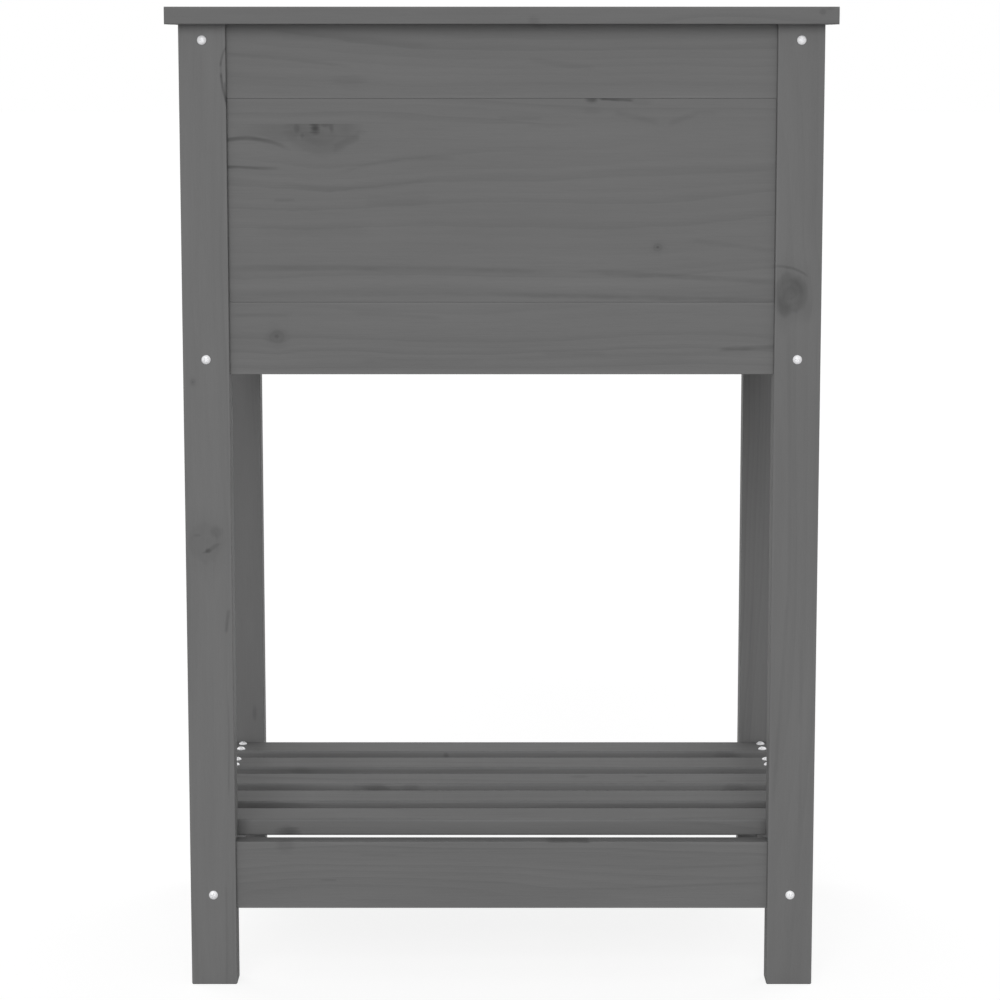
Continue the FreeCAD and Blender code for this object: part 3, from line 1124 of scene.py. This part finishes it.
@dataclass
class LowerShelf(TimberWork):
    """The slatted shelf near the floor and the stretchers that carry it.

    The slats' blots are listed slat by slat from the front.
    """

    front_veins: tuple[Vein, ...] = (
        Vein(-120.0, -85.0, 110.7, 110.7, width=2.2, dark=0.06),
        Vein(-152.0, -138.0, 89.2, 89.2, width=1.6, dark=0.09),
        Vein(110.0, 230.0, 98.1, 103.4, width=2.0, dark=0.06),
        Vein(53.0, 110.0, 81.7, 81.7, width=2.0, dark=0.06),
        Vein(108.0, 230.0, 82.4, 87.6, width=2.0, dark=0.06),
        Vein(36.0, 75.0, 122.0, 122.0, width=1.4, dark=0.26),
    )
    front_blots: tuple[Blot, ...] = (Blot((-181.0, -158.0, 120.0), (9.0, 12.0, 8.0), dark=0.13),)
    front_tone: float = 1.0
    slat_blots: tuple[tuple[Blot, ...], ...] = (
        (Blot((-179.0, -138.5, 124.5), (12.0, 9.0, 6.5), dark=0.32),),
        (
            Blot((-194.0, -78.7, 131.6), (32.0, 5.0, 5.0), dark=0.23),
            Blot((140.0, -78.7, 131.0), (130.0, 4.0, 4.0), dark=0.08),
        ),
        (
            Blot((-110.0, -19.0, 132.0), (19.0, 5.0, 4.6), dark=0.26),
            Blot((-80.0, -19.0, 132.0), (11.0, 5.0, 4.6), dark=0.16),
            Blot((70.0, 7.0, 136.0), (10.0, 5.0, 3.0), dark=0.3),
            Blot((124.0, 7.0, 136.0), (9.0, 4.0, 3.0), dark=0.24),
            Blot((141.0, -9.0, 136.0), (6.0, 4.0, 3.0), dark=0.2),
            Blot((207.0, -19.0, 132.0), (13.0, 5.0, 4.6), dark=0.16),
        ),
        (Blot((-181.0, 40.7, 132.0), (15.0, 5.0, 4.4), dark=0.13),),
        (
            Blot((-51.3, 100.5, 132.0), (3.6, 6.0, 4.0), dark=0.22),
            Blot((208.0, 100.5, 131.5), (14.0, 5.0, 5.0), dark=0.16),
        ),
    )

    def boards(self) -> list[Board]:
        """Lists the stretchers and slats.

        Returns:
            The stretchers, then the slats from the front.
        """
        cut = self.mill.cut
        front = {"knots": (), "veins": self.front_veins, "blots": self.front_blots}
        made = [
            cut("front_stretcher", Grain.RAIL, tone=self.front_tone, **front),
            cut("rear_stretcher", Grain.RAIL),
            cut("left_stretcher", Grain.SIDE_RAIL),
            cut("right_stretcher", Grain.SIDE_RAIL),
        ]
        for number, blots in enumerate(self.slat_blots, 1):
            made.append(cut(f"shelf_slat_{number}", Grain.LONG_SLAT, knots=(), blots=blots))
        return made


@dataclass
class PlantingFloor(TimberWork):
    """The slatted floor of the planting box and the ledgers under it."""

    slat_count: int = 7

    def boards(self) -> list[Board]:
        """Lists the ledgers and floor slats.

        Returns:
            The ledgers, then the slats.
        """
        made = [self.mill.cut(f"{side}_floor_ledger", Grain.RAIL) for side in ("front", "rear")]
        for number in range(1, self.slat_count + 1):
            made.append(self.mill.cut(f"floor_slat_{number}", Grain.SHORT_SLAT))
        return made


@dataclass
class Fasteners:
    """The plated screws and the hidden dowels."""

    nodes: dict[str, bpy.types.Object]
    zinc: ZincPlate
    beech: BeechDowel
    screws: tuple[str, ...] = ("leg_screws", "shelf_screws", "rim_screws", "ledger_screws", "floor_screws")
    dowels: tuple[str, ...] = ("front_frame_dowels", "rear_frame_dowels", "stretcher_dowels")

    def dress(self) -> None:
        """Gives the screws their zinc and the dowels their beech."""
        for names, material in ((self.screws, self.zinc.material()), (self.dowels, self.beech.material())):
            for name in names:
                set_finish(self.nodes[name], material)
                LOG.info("%s: %s", name, material.name)


def grey(tone: float) -> Colour:
    """Gives an opaque neutral colour."""
    return (tone, tone, tone, 1.0)


@dataclass(frozen=True)
class Lamp:
    """A broad soft light that falls evenly on the whole floor.

    Side is in degrees round from the front, towards the right, and height in degrees above the
    floor. Share is how bright a white face is that looks at the light.
    """

    name: str
    side: float
    height: float
    share: float


@dataclass
class Studio:
    """The pale floor, the soft light and the camera.

    Lengths are in metres, angles in degrees and the lens in millimetres. The floor lights the part
    with floor_tone, but is seen as a glow with a faint shown_tone, so that it is white but for shadows.
    """

    floor_size: float = 60.0
    floor_tone: float = 0.7
    shown_glow: float = 0.84
    shown_tone: float = 0.22
    sky: float = 0.45
    eye: Triple = (0.0, -2.55, 0.785)
    pitch: float = 7.913
    lens: float = 106.0
    shift: Pair = (-0.00172, -0.05)
    lamps: tuple[Lamp, ...] = (
        Lamp("front_soft_light", side=-6.0, height=24.0, share=0.52),
        Lamp("rear_left_soft_light", side=-130.0, height=25.0, share=0.24),
        Lamp("rear_right_soft_light", side=130.0, height=25.0, share=0.24),
    )
    lamp_spread: float = 44.0
    lamp_distance: float = 4.0

    def build(self) -> None:
        """Makes the floor, the sky, the lamps and the camera."""
        bpy.context.scene.view_settings.view_transform = "Standard"
        self.make_floor()
        self.make_sky()
        for lamp in self.lamps:
            self.make_lamp(lamp)
        self.make_camera()

    def seen(self, paint: Paint) -> Wire:
        """Gives 1 to what is seen directly, in a shine or through something clear.

        Args:
            paint: The floor's or the sky's nodes.

        Returns:
            The mask.
        """
        rays = []
        for name in ("Is Camera Ray", "Is Glossy Ray", "Is Transmission Ray"):
            rays.append(paint.node("ShaderNodeLightPath", None, None, name))
        return paint.maths("MAXIMUM", paint.maths("MAXIMUM", rays[0], rays[1]), rays[2])

    def make_floor(self) -> None:
        """Lays a pale floor that looks white and keeps a soft shadow."""
        half = 0.5 * self.floor_size
        mesh = bpy.data.meshes.new("studio_floor")
        corners = [(-half, -half, 0.0), (half, -half, 0.0), (half, half, 0.0), (-half, half, 0.0)]
        mesh.from_pydata(corners, [], [(0, 1, 2, 3)])
        floor = bpy.data.objects.new("studio_floor", mesh)
        bpy.context.scene.collection.objects.link(floor)
        material, paint = new_material("pale_floor")
        plain = paint.node("ShaderNodeBsdfDiffuse", None, {"Color": grey(self.floor_tone)})
        lit = paint.node("ShaderNodeBsdfDiffuse", None, {"Color": grey(self.shown_tone)})
        glow = paint.node("ShaderNodeEmission", None, {"Color": WHITE, "Strength": self.shown_glow})
        shown = paint.node("ShaderNodeAddShader", None, {0: lit, 1: glow})
        paint.surface(paint.node("ShaderNodeMixShader", None, {0: self.seen(paint), 1: plain, 2: shown}))
        set_finish(floor, material)
        LOG.info("studio_floor: stage")

    def make_sky(self) -> None:
        """Sets an even sky that the camera sees as white."""
        world = bpy.data.worlds.new("studio_sky")
        bpy.context.scene.world = world
        world.use_nodes = True
        paint = Paint(world.node_tree)
        light = paint.node("ShaderNodeBackground", None, {"Color": WHITE, "Strength": self.sky})
        white = paint.node("ShaderNodeBackground", None, {"Color": WHITE, "Strength": 1.0})
        paint.surface(paint.node("ShaderNodeMixShader", None, {0: self.seen(paint), 1: light, 2: white}))

    def make_lamp(self, lamp: Lamp) -> None:
        """Hangs a light.

        Args:
            lamp: The light's name, place and brightness.
        """
        turn = math.radians(lamp.side)
        rise = math.radians(lamp.height)
        toward = Vector((math.sin(turn) * math.cos(rise), -math.cos(turn) * math.cos(rise), math.sin(rise)))
        data = bpy.data.lights.new(lamp.name, "SUN")
        data.energy = math.pi * lamp.share
        data.angle = math.radians(self.lamp_spread)
        hung = bpy.data.objects.new(lamp.name, data)
        hung.location = toward * self.lamp_distance
        hung.rotation_mode = "QUATERNION"
        hung.rotation_quaternion = toward.to_track_quat("Z", "Y")
        bpy.context.scene.collection.objects.link(hung)

    def make_camera(self) -> None:
        """Sets the camera at the photograph's viewpoint."""
        data = bpy.data.cameras.new("photo_camera")
        data.lens = self.lens
        data.shift_x, data.shift_y = self.shift
        camera = bpy.data.objects.new("photo_camera", data)
        camera.location = self.eye
        # A camera that is turned by 90 degrees looks straight ahead
        camera.rotation_euler = (math.radians(90.0 - self.pitch), 0.0, 0.0)
        bpy.context.scene.collection.objects.link(camera)
        bpy.context.scene.camera = camera


def main() -> None:
    """Loads the frame, dresses every sub-assembly and sets up the studio."""
    logging.basicConfig(level=logging.INFO, format="%(message)s")
    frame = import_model()
    nodes = frame["nodes"]
    mill = Sawmill()
    pine = StainedPine()
    for work in (Legs, FrontWall, OtherWalls, TopRim, LowerShelf, PlantingFloor):
        work(nodes, mill, pine).dress()
    Fasteners(nodes, ZincPlate(), BeechDowel()).dress()
    Studio().build()


if __name__ == "__main__":
    main()
